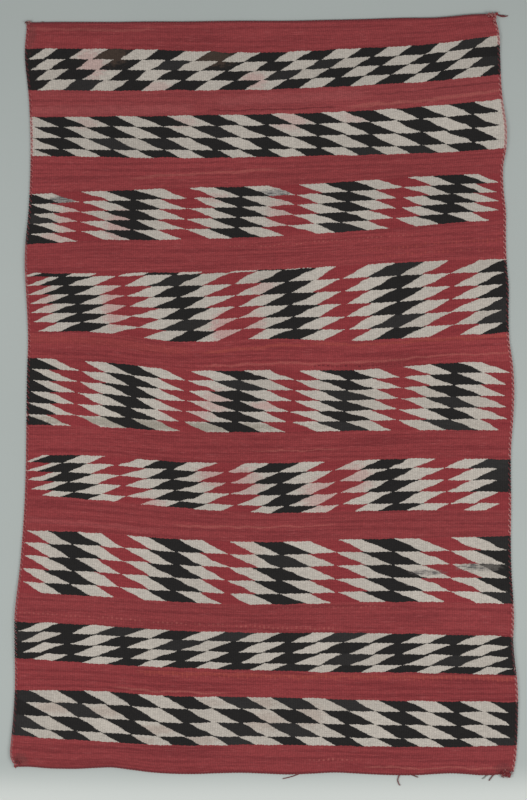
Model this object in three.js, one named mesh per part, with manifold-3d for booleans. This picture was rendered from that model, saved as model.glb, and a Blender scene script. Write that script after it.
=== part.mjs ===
// A flat-woven wool rug, lying open on the floor: a weft-faced cloth, a twined cord bound along each edge,
// a knot at each corner where the cords are tied off, and a few loose yarn ends along its ends.
// Millimetres, +Z up. +Y runs to the upper end of the rug, and the origin is on the floor under its middle.

import * as THREE from "three";
import { mergeVertices } from "three/addons/utils/BufferGeometryUtils.js";
import Module from "manifold-3d";

const wasm = await Module();
wasm.setup();

// Driving dimensions
const NOMINAL_WIDTH = 1203;
const NOMINAL_LENGTH = 1844;
const CLOTH_THICKNESS = 3;
const CORD_DIAMETER = 4.5;
const YARN_THICKNESS = 2;
const CLEARANCE = 0.3;

// How far each side edge stands out past half the nominal width, at shares of the way down the rug.
const SIDE_EDGES = [
  { down: 0.0, left: -16, right: -35 },
  { down: 0.01, left: -16, right: -36 },
  { down: 0.02, left: -14, right: -29 },
  { down: 0.04, left: -12, right: -27 },
  { down: 0.1, left: -22, right: -22 },
  { down: 0.16, left: -26, right: -9 },
  { down: 0.21, left: -25, right: -20 },
  { down: 0.26, left: -20, right: -12 },
  { down: 0.31, left: -12, right: -12 },
  { down: 0.36, left: -15, right: -5 },
  { down: 0.42, left: -20, right: -5 },
  { down: 0.48, left: -17, right: 8 },
  { down: 0.53, left: -16, right: 6 },
  { down: 0.58, left: -15, right: 0 },
  { down: 0.64, left: -12, right: 1 },
  { down: 0.7, left: -5, right: 0 },
  { down: 0.75, left: 3, right: 3 },
  { down: 0.79, left: 12, right: 8 },
  { down: 0.83, left: 13, right: 6 },
  { down: 0.89, left: 12, right: 17 },
  { down: 0.94, left: 17, right: 17 },
  { down: 0.97, left: 22, right: 14.5 },
  { down: 0.985, left: 23.5, right: 12 },
  { down: 0.993, left: 20.5, right: 9.5 },
  { down: 1.0, left: 12, right: 7 },
];

// How far each end edge stands out past half the nominal length, at shares of the way across the rug.
const END_EDGES = [
  { across: 0.0, top: -6, bottom: -14 },
  { across: 0.03, top: -5.5, bottom: -14 },
  { across: 0.055, top: -5, bottom: -11 },
  { across: 0.12, top: -5, bottom: -9 },
  { across: 0.2, top: -5, bottom: -12 },
  { across: 0.25, top: -4, bottom: -3 },
  { across: 0.33, top: -4, bottom: 4 },
  { across: 0.45, top: -2, bottom: 1 },
  { across: 0.56, top: -2, bottom: 5 },
  { across: 0.64, top: 0, bottom: 0 },
  { across: 0.72, top: 2, bottom: 5 },
  { across: 0.8, top: 5, bottom: 7 },
  { across: 0.88, top: 6, bottom: 2 },
  { across: 0.95, top: 13, bottom: 7 },
  { across: 1.0, top: 15, bottom: 2 },
];

// Corner knots: the corner's shares across and down, the knot's radius, and how far its middle stands out
// past the corner, to the side and to the end.
const CORNER_KNOTS = [
  { corner: "top_left", across: 0, down: 0, radius: 5, sideOut: -1, endOut: -1 },
  { corner: "top_right", across: 1, down: 0, radius: 5.5, sideOut: -0.5, endOut: -0.5 },
  { corner: "bottom_left", across: 0, down: 1, radius: 5, sideOut: -1.5, endOut: -1.5 },
  { corner: "bottom_right", across: 1, down: 1, radius: 8, sideOut: -12, endOut: 4 },
];

// Yarn tails of the knots: heading in degrees from +X, length, and how far the tail turns on its way.
const KNOT_TAILS = [
  { corner: "top_right", heading: -47, length: 30, turn: 73 },
  { corner: "top_right", heading: -30, length: 21, turn: 36 },
];

// Loose yarn ends on the end cords: the cord's share down, where they leave it, and the values of a tail.
const LOOSE_ENDS = [
  { down: 0, across: 0.037, heading: 140, length: 9, turn: 40 },
  { down: 1, across: 0.574, heading: 205, length: 47, turn: -15 },
  { down: 1, across: 0.776, heading: 216, length: 31, turn: 98 },
  { down: 1, across: 0.796, heading: -28, length: 20, turn: 12 },
  { down: 1, across: 0.954, heading: 218, length: 19, turn: 0 },
  { down: 1, across: 0.966, heading: 222, length: 22, turn: 15 },
];

// Fineness of the faceting
const CLOTH_COLUMNS = 30;
const CLOTH_ROWS = 40;
const CORD_SIDES = 8;
const YARN_SIDES = 4;
const TAIL_STEPS = 6;
const KNOT_COLUMNS = 14;
const KNOT_RINGS = 8;
const MERGE_DISTANCE = 0.001;
const SLOPE_STEP = 0.003;

// How far the stations crowd towards the corners, where the outline turns most: 0 keeps them even.
const CORNER_CROWDING = 0.75;

// Sizes worked out from the driving dimensions
const CORD_RADIUS = CORD_DIAMETER / 2;
const CLOTH_INSET = CORD_DIAMETER + CLEARANCE;

// A knot's half height and the part of it cut level by the floor, as shares of its radius, then the depth,
// the number and the slant of the grooves between its turns of yarn.
const KNOT_FLATNESS = 0.5;
const KNOT_FLOOR_CUT = 0.08;
const KNOT_GROOVE = 0.07;
const KNOT_LOBES = 3;
const KNOT_TWIST = 2.4;

const woolCloth = new THREE.MeshStandardMaterial({ color: 0x843a3d, roughness: 0.95, metalness: 0 });
const woolCord = new THREE.MeshStandardMaterial({ color: 0x6e2e34, roughness: 0.95, metalness: 0 });
const woolKnot = new THREE.MeshStandardMaterial({ color: 0x6b3a3c, roughness: 0.95, metalness: 0 });

// A smooth function through one column of a table, by the table's own share column.
function smoothColumn(table, share, column) {
  const stations = table.map((row) => row[share]);
  const values = table.map((row) => row[column]);
  const curve = new THREE.CubicInterpolant(stations, values, 1);
  return (at) => curve.evaluate(at)[0];
}

const leftBulge = smoothColumn(SIDE_EDGES, "down", "left");
const rightBulge = smoothColumn(SIDE_EDGES, "down", "right");
const topBulge = smoothColumn(END_EDGES, "across", "top");
const bottomBulge = smoothColumn(END_EDGES, "across", "bottom");

// An even share of an edge's length, moved towards the nearer corner.
function crowded(share) {
  return THREE.MathUtils.lerp(share, 0.5 - 0.5 * Math.cos(Math.PI * share), CORNER_CROWDING);
}

// An inset square to a slanting edge, as it measures along the straight edge that the bulge stands out from.
function slantedInset(inset, bulge, share, length) {
  const [before, after] = [Math.max(share - SLOPE_STEP, 0), Math.min(share + SLOPE_STEP, 1)];
  const slope = (bulge(after) - bulge(before)) / ((after - before) * length);
  return inset * Math.hypot(1, slope);
}

// The rug's plan at shares of the way across and down, with its border drawn in by inset.
function rugPoint(across, down, inset) {
  const left = -NOMINAL_WIDTH / 2 - leftBulge(down) + slantedInset(inset, leftBulge, down, NOMINAL_LENGTH);
  const right = NOMINAL_WIDTH / 2 + rightBulge(down) - slantedInset(inset, rightBulge, down, NOMINAL_LENGTH);
  const top = NOMINAL_LENGTH / 2 + topBulge(across) - slantedInset(inset, topBulge, across, NOMINAL_WIDTH);
  const bottom =
    -NOMINAL_LENGTH / 2 - bottomBulge(across) + slantedInset(inset, bottomBulge, across, NOMINAL_WIDTH);
  return new THREE.Vector2(
    THREE.MathUtils.lerp(left, right, across),
    THREE.MathUtils.lerp(top, bottom, down),
  );
}

// A closed geometry as a solid for joining, and a joined solid back as a geometry.
function toSolid(geometry) {
  const bare = geometry.clone();
  bare.deleteAttribute("normal");
  bare.deleteAttribute("uv");
  const merged = mergeVertices(bare, MERGE_DISTANCE);
  const vertProperties = new Float32Array(merged.getAttribute("position").array);
  const triVerts = new Uint32Array(merged.getIndex().array);
  return new wasm.Manifold(new wasm.Mesh({ numProp: 3, vertProperties, triVerts }));
}

function toGeometry(solid) {
  const mesh = solid.getMesh();
  const geometry = new THREE.BufferGeometry();
  geometry.setAttribute("position", new THREE.BufferAttribute(mesh.vertProperties, 3));
  geometry.setIndex(new THREE.BufferAttribute(mesh.triVerts, 1));
  geometry.computeVertexNormals();
  return geometry;
}

// A regular section whose lowest side is flat, so that what is swept from it lies on the floor.
function flatBottomedSection(sides, acrossFlats) {
  const reach = acrossFlats / 2 / Math.cos(Math.PI / sides);
  const corners = [];
  for (let i = 0; i < sides; i += 1) {
    const angle = ((i + 0.5) * 2 * Math.PI) / sides;
    corners.push(new THREE.Vector2(reach * Math.cos(angle), reach * Math.sin(angle)));
  }
  return new THREE.Shape(corners);
}

// A path that is swept station by station, so that neighbours with the same stations keep an even gap.
class StationPath extends THREE.Curve {
  constructor(points) {
    super();
    this.points = points;
    this.last = points.length - 1;
  }

  getPointAt(share) {
    return this.points[Math.round(share * this.last)].clone();
  }

  getTangentAt(share) {
    const station = Math.round(share * this.last);
    const before = this.points[Math.max(station - 1, 0)];
    const after = this.points[Math.min(station + 1, this.last)];
    return after.clone().sub(before).normalize();
  }
}

// A strand of one thickness along plan points, resting level on the floor.
function floorStrand(planPoints, thickness, sides) {
  const points = planPoints.map((p) => new THREE.Vector3(p.x, p.y, thickness / 2));
  const extrudePath = new StationPath(points);
  const steps = points.length - 1;
  return new THREE.ExtrudeGeometry(flatBottomedSection(sides, thickness), { extrudePath, steps });
}

// Plan points of a yarn tail that leaves start at a heading and turns evenly along its length.
function tailPoints(start, { heading, length, turn }) {
  const points = [start.clone()];
  const stride = length / TAIL_STEPS;
  for (let i = 0; i < TAIL_STEPS; i += 1) {
    const angle = THREE.MathUtils.degToRad(heading + (turn * (i + 0.5)) / TAIL_STEPS);
    const direction = new THREE.Vector2(Math.cos(angle), Math.sin(angle));
    points.push(points[i].clone().addScaledVector(direction, stride));
  }
  return points;
}

// The solid that the yarn tails of these rows are rooted in, joined with them.
function joinTails(solid, rows, startOf) {
  let joined = solid;
  for (const row of rows) {
    const tail = floorStrand(tailPoints(startOf(row), row), YARN_THICKNESS, YARN_SIDES);
    joined = joined.add(toSolid(tail));
  }
  return toGeometry(joined);
}

// The woven cloth: a flat slab drawn in from the rug's outline by the width of its edge cords.
function clothGeometry() {
  const geometry = new THREE.BoxGeometry(1, 1, 1, CLOTH_COLUMNS, CLOTH_ROWS, 1);
  const position = geometry.getAttribute("position");
  for (let i = 0; i < position.count; i += 1) {
    const [across, down] = [crowded(position.getX(i) + 0.5), crowded(0.5 - position.getY(i))];
    const plan = rugPoint(across, down, CLOTH_INSET);
    position.setXYZ(i, plan.x, plan.y, (position.getZ(i) + 0.5) * CLOTH_THICKNESS);
  }
  geometry.computeVertexNormals();
  return geometry;
}

// How far from its corner a cord stops to clear the knot there. The knot's middle stands out past the
// corner along the cord, and aside of the cord's outer line.
function cordTrim(radius, alongOut, asideOut) {
  const reach = radius + CLEARANCE;
  const aside = Math.max(asideOut, -asideOut - CORD_DIAMETER, 0);
  return Math.sqrt(reach * reach - aside * aside) - alongOut;
}

// A point on an edge that runs straight from one of the cloth's stations to the next.
function facetPoint(pointAt, stations, share) {
  let station = 0;
  while (station < stations - 1 && crowded((station + 1) / stations) < share) station += 1;
  const [from, to] = [crowded(station / stations), crowded((station + 1) / stations)];
  return pointAt(from).lerp(pointAt(to), (share - from) / (to - from));
}

// A cord bound along one edge, at the cloth's own stations. It stops short of the knots at its two corners.
function edgeCordGeometry(pointAt, length, stations, [startTrim, endTrim]) {
  const points = [];
  for (let i = 0; i <= stations; i += 1) {
    const share = THREE.MathUtils.clamp(crowded(i / stations), startTrim / length, 1 - endTrim / length);
    points.push(facetPoint(pointAt, stations, share));
  }
  return floorStrand(points, CORD_DIAMETER, CORD_SIDES);
}

function sideCordGeometry(across) {
  const knots = CORNER_KNOTS.filter((knot) => knot.across === across);
  const trims = knots.map((knot) => cordTrim(knot.radius, knot.endOut, knot.sideOut));
  return edgeCordGeometry((down) => rugPoint(across, down, CORD_RADIUS), NOMINAL_LENGTH, CLOTH_ROWS, trims);
}

// An end cord, with the yarn ends that have worked loose from it.
function endCordGeometry(down) {
  const knots = CORNER_KNOTS.filter((knot) => knot.down === down);
  const trims = knots.map((knot) => cordTrim(knot.radius, knot.sideOut, knot.endOut));
  const pointAt = (across) => rugPoint(across, down, CORD_RADIUS);
  const cord = toSolid(edgeCordGeometry(pointAt, NOMINAL_WIDTH, CLOTH_COLUMNS, trims));
  const rows = LOOSE_ENDS.filter((row) => row.down === down);
  return joinTails(cord, rows, (row) => pointAt(row.across));
}

// A flattened ball with slanting grooves between the turns of its yarn, level where it rests.
function knotBall(centre, radius) {
  const geometry = new THREE.SphereGeometry(1, KNOT_COLUMNS, KNOT_RINGS);
  geometry.rotateX(Math.PI / 2);
  const position = geometry.getAttribute("position");
  const halfHeight = radius * KNOT_FLATNESS;
  const floor = radius * KNOT_FLOOR_CUT - halfHeight;
  for (let i = 0; i < position.count; i += 1) {
    const [x, y, z] = [position.getX(i), position.getY(i), position.getZ(i)];
    const rim = Math.hypot(x, y);
    const wave = Math.cos(KNOT_LOBES * Math.atan2(y, x) + KNOT_TWIST * z);
    const reach = radius * (1 - KNOT_GROOVE * rim * (0.5 - 0.5 * wave));
    const height = Math.max(floor, z * halfHeight) - floor;
    position.setXYZ(i, centre.x + x * reach, centre.y + y * reach, height);
  }
  return geometry;
}

// The knot of one corner with its tails.
function cornerKnotGeometry({ corner, across, down, radius, sideOut, endOut }) {
  const outward = new THREE.Vector2((across * 2 - 1) * sideOut, (1 - down * 2) * endOut);
  const centre = rugPoint(across, down, 0).add(outward);
  const rows = KNOT_TAILS.filter((row) => row.corner === corner);
  return joinTails(toSolid(knotBall(centre, radius)), rows, () => centre);
}

const rug = new THREE.Group();

function addPiece(name, geometry, material) {
  const mesh = new THREE.Mesh(geometry, material);
  mesh.name = name;
  rug.add(mesh);
}

addPiece("rug_cloth", clothGeometry(), woolCloth);
addPiece("side_cord_left", sideCordGeometry(0), woolCord);
addPiece("side_cord_right", sideCordGeometry(1), woolCord);
addPiece("end_cord_top", endCordGeometry(0), woolCord);
addPiece("end_cord_bottom", endCordGeometry(1), woolCord);
for (const knot of CORNER_KNOTS) {
  addPiece(`corner_knot_${knot.corner}`, cornerKnotGeometry(knot), woolKnot);
}

export default rug;
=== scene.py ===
# %% [markdown]
# # A flat-woven wool rug
# This lesson dresses a plain flat solid as a hand-woven rug that lies open on a floor. The solid gives
# the size and the outline. Everything that makes it look woven is made here: ribs, stripes, motifs,
# twisted edge cords, corner knots and loose yarn ends. Lengths in the rug's tables are millimetres, and
# Blender works in metres.

import math
import random

import bpy
import numpy as np
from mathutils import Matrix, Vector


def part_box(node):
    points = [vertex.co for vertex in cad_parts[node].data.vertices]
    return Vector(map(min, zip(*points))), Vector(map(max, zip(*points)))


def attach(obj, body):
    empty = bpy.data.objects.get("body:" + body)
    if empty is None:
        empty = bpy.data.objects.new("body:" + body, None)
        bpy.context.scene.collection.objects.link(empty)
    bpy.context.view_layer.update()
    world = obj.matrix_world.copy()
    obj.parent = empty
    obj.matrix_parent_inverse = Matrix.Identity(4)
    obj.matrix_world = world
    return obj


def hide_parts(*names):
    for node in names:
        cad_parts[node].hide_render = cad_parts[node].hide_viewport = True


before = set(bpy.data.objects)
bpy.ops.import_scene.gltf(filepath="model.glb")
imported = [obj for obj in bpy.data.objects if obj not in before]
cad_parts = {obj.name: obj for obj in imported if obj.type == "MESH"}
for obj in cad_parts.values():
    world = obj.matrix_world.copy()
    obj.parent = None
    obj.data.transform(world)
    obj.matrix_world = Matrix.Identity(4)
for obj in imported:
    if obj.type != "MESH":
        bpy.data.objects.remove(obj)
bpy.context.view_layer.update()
MM = 0.001

# %% [markdown]
# ## Short tables
# What is counted or placed one by one stands in short tables. A small helper takes the names of the
# columns once, in one string, so that each row is only its values.


# %% A table with named columns
def table(columns, *rows):
    """Rows of values as a list of dictionaries."""
    return [dict(zip(columns.split(), row, strict=True)) for row in rows]


print("one row of a table:", table("yarn number", ("warp", 215))[0])

# %% [markdown]
# ## Camera
# The rug was photographed from straight above, as a flat textile is on a copy stand, so the camera looks
# down. A wide lens would see the edges at a slant, and an orthographic camera would look drawn. A long
# lens far up keeps the little perspective that a real camera has.

# %% Camera straight above the rug
PICTURE_HEIGHT = 1960
PICTURE_X = -4.5
PICTURE_Y = -9.3
LENS = 85
SENSOR = 36

camera_data = bpy.data.cameras.new("camera")
camera_data.sensor_fit = "VERTICAL"
camera_data.sensor_height = SENSOR
camera_data.lens = LENS
camera = bpy.data.objects.new("camera", camera_data)
camera.location = (PICTURE_X * MM, PICTURE_Y * MM, PICTURE_HEIGHT * MM * LENS / SENSOR)
bpy.context.collection.objects.link(camera)
bpy.context.scene.camera = camera
print("camera height:", round(camera.location.z, 3))

# %% [markdown]
# ## Light
# Two broad soft lights, one on each side, are the usual way to light a flat textile: they rake over the
# ribs a little from both sides and leave no hard shadow. A pale sky fills what they miss. The lights'
# places are in metres. The Standard view keeps the colours of the dyes as they are set, where a filmic
# view would grey them.

# %% Sky, side lights and colour view
SKY = (0.93, 0.97, 1.0, 1.0)
SKY_STRENGTH = 0.45
SIDE_LIGHTS = table(
    "name x y z power",
    ("light_left", -2.6, -0.9, 2.6, 60),
    ("light_right", 2.6, -0.9, 2.6, 65),
)
LIGHT_SIZE = 1.6

world = bpy.data.worlds.new("sky")
world.use_nodes = True
world.node_tree.nodes["Background"].inputs["Color"].default_value = SKY
world.node_tree.nodes["Background"].inputs["Strength"].default_value = SKY_STRENGTH
bpy.context.scene.world = world
bpy.context.scene.view_settings.view_transform = "Standard"

for row in SIDE_LIGHTS:
    light_data = bpy.data.lights.new(row["name"], "AREA")
    light_data.size = LIGHT_SIZE
    light_data.energy = row["power"]
    light = bpy.data.objects.new(row["name"], light_data)
    light.location = (row["x"], row["y"], row["z"])
    light.rotation_euler = (-light.location).to_track_quat("-Z", "Y").to_euler()
    bpy.context.collection.objects.link(light)
print("lights:", [row["name"] for row in SIDE_LIGHTS])

# %% [markdown]
# ## Writing a finish as arithmetic
# A woven pattern is mostly counting: which rib, which row, which part of a repeat. In the node editor
# that is a wall of Math nodes. So one small class wraps a node's output and overloads the operators, and
# an ordinary Python expression then adds the nodes. Colours are mixed by Mix nodes, because Math would
# turn them grey.


# %% A value that can be reckoned with, and the finish that it belongs to
WOOL_ROUGHNESS = 0.92
WOOL_GLOSS = 0.2
BUMP_STRENGTH = 0.7


def operator(operation, swapped=False):
    """A method that answers a Python operator with a Math node."""

    def method(self, other):
        values = (other, self) if swapped else (self, other)
        return self.finish.math(operation, *values)

    return method


class Value:
    """A node's output that takes part in Python arithmetic."""

    def __init__(self, finish, socket):
        self.finish = finish
        self.socket = socket

    __add__ = operator("ADD")
    __radd__ = operator("ADD", swapped=True)
    __sub__ = operator("SUBTRACT")
    __rsub__ = operator("SUBTRACT", swapped=True)
    __mul__ = operator("MULTIPLY")
    __rmul__ = operator("MULTIPLY", swapped=True)
    __truediv__ = operator("DIVIDE")
    __lt__ = operator("LESS_THAN")
    __gt__ = operator("GREATER_THAN")


class Finish:
    """A material, with short ways to add the nodes that its wool needs."""

    def __init__(self, name):
        self.material = bpy.data.materials.new(name)
        self.material.use_nodes = True
        self.tree = self.material.node_tree
        self.shader = self.tree.nodes["Principled BSDF"]

    def node(self, kind, settings=None, inputs=None, output=0):
        made = self.tree.nodes.new(kind)
        for name, setting in (settings or {}).items():
            setattr(made, name, setting)
        for socket, value in (inputs or {}).items():
            self.feed(made.inputs[socket], value)
        return Value(self, made.outputs[output])

    def feed(self, socket, value):
        if isinstance(value, Value):
            self.tree.links.new(value.socket, socket)
        else:
            socket.default_value = value

    def math(self, operation, *values):
        return self.node("ShaderNodeMath", {"operation": operation}, dict(enumerate(values)))

    def mapped(self, layer):
        """The two coordinates of a UV layer."""
        place = self.node("ShaderNodeUVMap", {"uv_map": layer})
        parts = self.node("ShaderNodeSeparateXYZ", None, {0: place}).socket.node
        return Value(self, parts.outputs[0]), Value(self, parts.outputs[1])

    def noise(self, x, y, detail=2.0):
        """Soft noise from 0 to 1, with its middle at a half."""
        place = self.node("ShaderNodeCombineXYZ", None, {0: x, 1: y})
        inputs = {"Vector": place, "Scale": 1.0, "Detail": detail}
        return self.node("ShaderNodeTexNoise", {"noise_dimensions": "2D"}, inputs)

    def patches(self, u, v, size, detail=2.0):
        """Soft noise on the loom, with patches of a size across and down in millimetres."""
        return self.noise(u / size[0], v / size[1], detail)

    def chance(self, number):
        """A number from 0 to 1 that is fixed for each whole number."""
        return self.node("ShaderNodeTexWhiteNoise", {"noise_dimensions": "1D"}, {"W": number})

    def equals(self, value, number):
        """1 where a value is this whole number, else 0."""
        return self.math("COMPARE", value, float(number), 0.25)

    def rise(self, value, low, high):
        """0 below low, 1 above high, and a smooth step between."""
        settings = {"interpolation_type": "SMOOTHSTEP"}
        return self.node("ShaderNodeMapRange", settings, {0: value, 1: low, 2: high})

    def blend(self, share, first, second, way="MIX"):
        settings = {"data_type": "RGBA", "blend_type": way}
        return self.node("ShaderNodeMix", settings, {0: share, 6: first, 7: second}, output=2)

    def shaded(self, colour, amount):
        """A colour made darker or lighter by an amount around 1."""
        return self.blend(1.0, colour, amount, "MULTIPLY")

    def bumped(self, height, distance):
        """A relief from heights of 0 to 1, where 1 is a distance in metres."""
        inputs = {"Height": height, "Distance": distance, "Strength": BUMP_STRENGTH}
        return self.node("ShaderNodeBump", None, inputs)

    def woollen(self, colour, relief):
        """Give the shader its colour and relief, and make it as matte as wool."""
        self.feed(self.shader.inputs["Base Color"], colour)
        self.feed(self.shader.inputs["Normal"], relief)
        self.shader.inputs["Roughness"].default_value = WOOL_ROUGHNESS
        self.shader.inputs["Specular IOR Level"].default_value = WOOL_GLOSS


def dye(red, green, blue):
    """A colour as a picture gives it, 0 to 255, as the linear colour that nodes use."""
    parts = [part / 255 for part in (red, green, blue)]
    linear = [part / 12.92 if part <= 0.04045 else ((part + 0.055) / 1.055) ** 2.4 for part in parts]
    return (*linear, 1.0)


print("a mid grey in linear light:", round(dye(128, 128, 128)[0], 3))

# %% [markdown]
# ## Floor
# A plain pale floor, a little green as painted boards or card often are. It is a stage for the picture
# and not part of the rug. A faint mottle keeps it from looking like empty background, and it is lighter
# in front of the rug's lower end.

# %% Pale floor
FLOOR_HALF = 6.0
FLOOR_DROP = 0.0005
FLOOR_GREY = dye(160, 166, 162)
FLOOR_LIGHT = dye(174, 179, 175)
FLOOR_FRONT = dye(200, 203, 198)
FRONT_FROM = -0.89
FRONT_TO = -0.99

floor_mesh = bpy.data.meshes.new("floor")
corners = [(x * FLOOR_HALF, y * FLOOR_HALF, 0) for x, y in ((-1, -1), (1, -1), (1, 1), (-1, 1))]
floor_mesh.from_pydata(corners, [], [(0, 1, 2, 3)])
floor = bpy.data.objects.new("floor", floor_mesh)
floor.location.z = -FLOOR_DROP
bpy.context.collection.objects.link(floor)

floor_finish = Finish("pale_floor")
floor_place = floor_finish.node("ShaderNodeTexCoord", output="Object")
mottle = {"Vector": floor_place, "Scale": 1.3, "Detail": 3.0}
floor_noise = floor_finish.node("ShaderNodeTexNoise", None, mottle)
floor_y = floor_finish.node("ShaderNodeSeparateXYZ", None, {0: floor_place}, output=1)
in_front = floor_finish.rise(floor_y, FRONT_FROM, FRONT_TO)
floor_colour = floor_finish.blend(floor_noise, FLOOR_GREY, FLOOR_LIGHT)
floor_colour = floor_finish.blend(in_front, floor_colour, FLOOR_FRONT)
floor_finish.feed(floor_finish.shader.inputs["Base Color"], floor_colour)
floor_finish.shader.inputs["Roughness"].default_value = 0.9
floor_mesh.materials.append(floor_finish.material)
print("floor:", 2 * FLOOR_HALF, "m square")

# %% [markdown]
# ## The outline
# Nothing about the outline is typed again here. The solid's upper face has a border of short straight
# edges, and walking along it gives the four sides of the cloth. A smooth curve through the points of each
# side takes off the facets.


# %% Walk the border of the solid's upper face
def upper_border(mesh):
    """The points around the upper face, in order, as an array of x and y."""
    used = {}
    for face in mesh.polygons:
        if face.normal.z > 0.9:
            for edge in face.edge_keys:
                ends = tuple(sorted(tuple(np.round(mesh.vertices[index].co, 6)) for index in edge))
                used[ends] = used.get(ends, 0) + 1
    nexts = {}
    for (one, other), count in used.items():
        if count == 1:
            nexts.setdefault(one, []).append(other)
            nexts.setdefault(other, []).append(one)
    start = max(nexts, key=lambda point: point[1] - point[0])
    walk = [start, max(nexts[start], key=lambda point: point[0])]
    while walk[-1] != start:
        walk.append(next(point for point in nexts[walk[-1]] if point != walk[-2]))
    return np.array(walk)[:, :2]


def smooth_curve(stations, values):
    """A smooth function through values at rising stations."""
    at = np.asarray(stations, float)
    value = np.asarray(values, float)
    slope = np.gradient(value, at)

    def read(where):
        where = np.clip(where, at[0], at[-1])
        low = np.clip(np.searchsorted(at, where, side="right") - 1, 0, len(at) - 2)
        high = low + 1
        step = at[high] - at[low]
        share = (where - at[low]) / step
        ease = share * share * (3 - 2 * share)
        pull = (1 - share) * (slope[low] * step) - share * (slope[high] * step)
        return value[low] + ease * (value[high] - value[low]) + share * (1 - share) * pull

    return read


border = upper_border(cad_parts["rug_cloth"].data)
turns = {
    "top_left": 0,
    "top_right": int(np.argmax(border[:, 0] + border[:, 1])),
    "bottom_right": int(np.argmax(border[:, 0] - border[:, 1])),
    "bottom_left": int(np.argmin(border[:, 0] + border[:, 1])),
}
top_side = border[: turns["top_right"] + 1]
right_side = border[turns["top_right"] : turns["bottom_right"] + 1]
bottom_side = border[turns["bottom_right"] : turns["bottom_left"] + 1][::-1]
left_side = border[turns["bottom_left"] :][::-1]


def along_side(side, axis):
    """One coordinate of a side, as a smooth function of the share of the way along the other."""
    way = side[:, 1 - axis]
    return smooth_curve((way - way[0]) / (way[-1] - way[0]), side[:, axis])


left_x = along_side(left_side, 0)
right_x = along_side(right_side, 0)
top_y = along_side(top_side, 1)
bottom_y = along_side(bottom_side, 1)
sides = (top_side, right_side, bottom_side, left_side)
print("border points on each side:", [len(side) for side in sides])

# %% [markdown]
# ## Loom coordinates
# On the loom every weft was straight. On the floor the rug has relaxed, and its bands sag and climb. So
# the pattern is drawn in loom coordinates, where a band is a plain strip, and one table says where each
# band's upper and lower line now runs: its distance from the upper end at seven stations across the rug.

# %% Where the band lines run
NOMINAL_WIDTH = 1203
NOMINAL_LENGTH = 1844
STATIONS = (0.0, 0.15, 0.3, 0.5, 0.7, 0.85, 1.0)
BAND_LINES = table(
    "band upper lower",
    (1, (71, 71, 75, 81, 70, 61, 39), (172, 174, 173, 171, 161, 151, 135)),
    (2, (238, 237, 235, 231, 223, 212, 194), (333, 336, 338, 336, 331, 326, 315)),
    (3, (427, 420, 414, 407, 395, 382, 376), (551, 540, 539, 531, 516, 502, 488)),
    (4, (620, 621, 619, 613, 600, 591, 586), (762, 766, 787, 782, 785, 776, 766)),
    (5, (828, 838, 858, 858, 857, 842, 838), (992, 997, 1007, 1010, 1006, 1005, 1005)),
    (6, (1066, 1068, 1082, 1086, 1078, 1074, 1077), (1162, 1176, 1193, 1208, 1203, 1201, 1202)),
    (7, (1250, 1257, 1271, 1279, 1272, 1269, 1264), (1402, 1411, 1424, 1432, 1426, 1426, 1430)),
    (8, (1474, 1482, 1495, 1501, 1502, 1505, 1511), (1563, 1576, 1585, 1594, 1598, 1600, 1605)),
    (9, (1642, 1643, 1656, 1659, 1666, 1669, 1671), (1752, 1765, 1776, 1775, 1779, 1781, 1776)),
)


def line_height(distances):
    """The y of a band line, in metres, as a function of the share of the way across."""
    drop = smooth_curve(STATIONS, distances)
    return lambda across: (NOMINAL_LENGTH / 2 - drop(across)) * MM


lines = [top_y]
for row in BAND_LINES:
    lines.append(line_height(row["upper"]))
    lines.append(line_height(row["lower"]))
lines.append(bottom_y)

even_across = np.linspace(0, 1, 201)
loom_lines = [NOMINAL_LENGTH / 2 - float(np.mean(line(even_across))) / MM for line in lines]
print("band lines on the loom:", [round(place) for place in loom_lines])

# %% [markdown]
# ## The cloth
# In a weft-faced weave the weft covers the warp, and each warp shows only as a rib down the length of the
# rug. The ribs could be a bump, but then the ends of the rug would be smooth and a low view would show a
# flat board. So each rib is modelled with four strips of faces, which still keeps the mesh light. The
# underside has one strip to a rib, and both are joined along the edges, so the cloth is one closed sheet.

# %% Soft rises of the cloth
WARPS = 215
STRIPS_PER_RIB = 4
ROW_LENGTH = 26
END_ROWS = 9
CLOTH_THICKNESS = 3.0
RIB_DEPTH = 0.8
SHARP_ANGLE = 75
RISES = table(
    "x y wide long lift",
    (-560, -880, 130, 90, 3.2),
    (-330, -935, 70, 60, 2.6),
    (150, -930, 90, 55, 2.2),
    (480, -930, 80, 60, 2.4),
    (620, -640, 60, 120, 2.4),
    (612, 10, 60, 110, 2.2),
    (590, 640, 60, 90, 2.6),
    (-590, 330, 60, 110, 2.0),
    (-600, -560, 60, 130, 2.4),
    (520, 910, 120, 60, 2.8),
)


def floor_lift(x, y):
    """How far the relaxed cloth stands off the floor, in metres."""
    lift = np.zeros_like(x)
    for row in RISES:
        far = ((x / MM - row["x"]) / row["wide"]) ** 2 + ((y / MM - row["y"]) / row["long"]) ** 2
        lift = lift + row["lift"] * MM * np.exp(-far)
    return lift


print("soft rises:", len(RISES))


# %% Weave the grid of the cloth
def plan_point(across, y):
    """Plan x for shares across and heights y, between the two side edges."""
    top = top_y(across)
    down = (top - y) / (top - bottom_y(across))
    left = left_x(down)
    return left + (right_x(down) - left) * across


def rows_between():
    """Each row of the grid as its two lines, the share between them and its place on the loom."""
    rows = []
    last = len(lines) - 2
    for gap in range(last + 1):
        start = loom_lines[gap]
        length = loom_lines[gap + 1] - start
        at_end = gap in (0, last)
        count = END_ROWS if at_end else max(2, round(length / ROW_LENGTH))
        for share in np.arange(count) / count:
            if at_end:
                # The rows crowd to the ends of the rug, where the corners are rounded.
                share = share**2 if gap == 0 else 1 - (1 - share) ** 2
            rows.append((gap, share, start + length * share))
    rows.append((last, 1.0, loom_lines[-1]))
    return rows


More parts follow.
